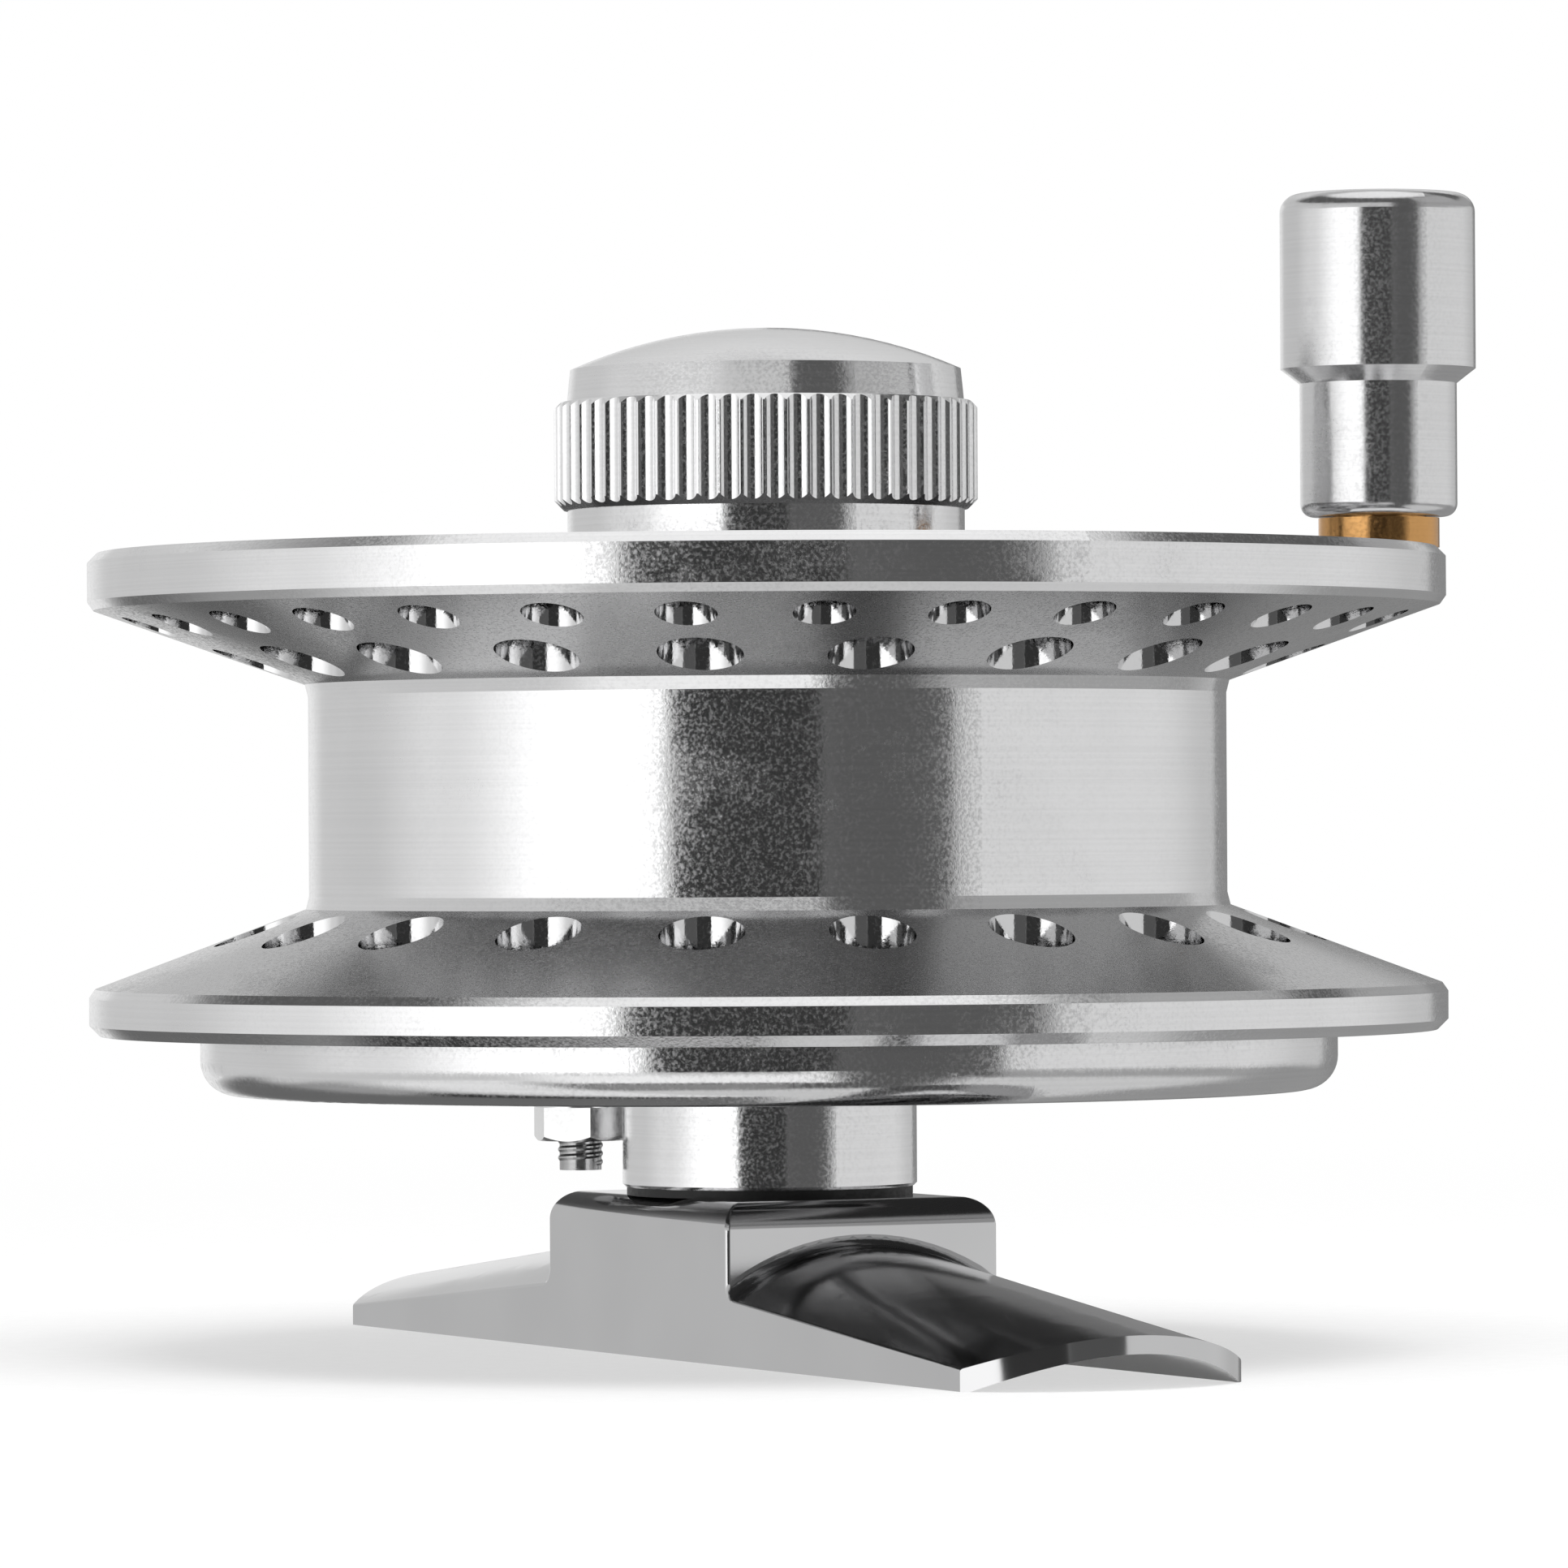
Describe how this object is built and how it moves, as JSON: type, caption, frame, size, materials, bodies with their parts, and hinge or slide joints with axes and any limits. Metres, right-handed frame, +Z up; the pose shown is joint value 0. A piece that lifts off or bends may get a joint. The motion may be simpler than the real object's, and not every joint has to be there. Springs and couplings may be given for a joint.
{
  "type": "raft fishing reel",
  "caption": "Silver metal raft fishing reel: a flanged spool with rings of holes, a side grip and a knurled drag knob, on a spindle, round back plate, stem and arched rod foot.",
  "frame": {"origin": "bottom of the rod foot, on the spool's axis", "axes": "+Z up the spool's axis towards the drag knob, +X along the foot, +Y across the foot"},
  "size_m": [0.0722, 0.064, 0.0545],
  "materials": {
    "turned_aluminium": "fine turned, clear satin",
    "polished_aluminium": "polished",
    "steel": "bright machined",
    "bearing_steel": "ground and polished",
    "spring_steel": "hardened, dark grey",
    "brass": "turned, lightly polished",
    "black_washer": "matt black",
    "friction_fibre": "matt, slightly rough"
  },
  "bodies": {
    "stand": {"foot": "polished_aluminium", "foot_screw_near": "steel", "foot_screw_far": "steel", "stem_washer": "black_washer", "stem": "turned_aluminium", "back_plate": "turned_aluminium", "plate_screw_left": "steel", "plate_screw_right": "steel", "spindle": "steel", "rear_bearing_inner_race": "bearing_steel", "rear_bearing_cage": "brass", "rear_bearing_balls": "bearing_steel", "front_bearing_inner_race": "bearing_steel", "front_bearing_cage": "brass", "front_bearing_balls": "bearing_steel", "bearing_spacer": "steel", "bearing_collar": "steel", "key_washer": "steel", "disc_spring_1": "spring_steel", "disc_spring_2": "spring_steel", "disc_spring_3": "spring_steel", "disc_spring_4": "spring_steel", "thrust_washer": "brass", "stop_washer": "steel", "stop_screw": "steel", "pawl_screw": "steel", "pawl_washer": "steel", "pawl_lock_washer": "steel", "pawl_nut": "steel", "pawl_leaf_spring": "spring_steel", "leaf_screw": "steel"},
    "spool_set": {"spool": "turned_aluminium", "rear_bearing_outer_race": "bearing_steel", "front_bearing_outer_race": "bearing_steel", "rear_bearing_lower_shield": "bearing_steel", "rear_bearing_upper_shield": "bearing_steel", "front_bearing_lower_shield": "bearing_steel", "front_bearing_upper_shield": "bearing_steel", "click_wheel": "brass", "friction_washer": "friction_fibre", "handle_bush": "brass", "handle_screw": "steel"},
    "handle": {"handle_knob": "turned_aluminium", "handle_cap": "turned_aluminium"},
    "drag_knob_set": {"drag_knob": "turned_aluminium", "knob_cap": "turned_aluminium"},
    "pawl": {"click_pawl": "steel"}
  },
  "joints": [
    {"name": "spool_spin", "type": "hinge", "parent": "stand", "child": "spool_set", "pos_m": [0, 0, 0.0263], "axis": [0, 0, 1], "continuous": true},
    {"name": "handle_spin", "type": "hinge", "parent": "spool_set", "child": "handle", "pos_m": [0.01334, 0.02563, 0.045], "axis": [0, 0, 1], "continuous": true},
    {"name": "drag_turn", "type": "hinge", "parent": "stand", "child": "drag_knob_set", "pos_m": [0, 0, 0.042], "axis": [0, 0, 1], "range_deg": [-270, 270]},
    {"name": "pawl_lift", "type": "hinge", "parent": "stand", "child": "pawl", "pos_m": [-0.00736, -0.0064, 0.0163], "axis": [0, 0, -1], "range_deg": [0, 6], "stiffness_Nm_per_rad": 0.002}
  ]
}
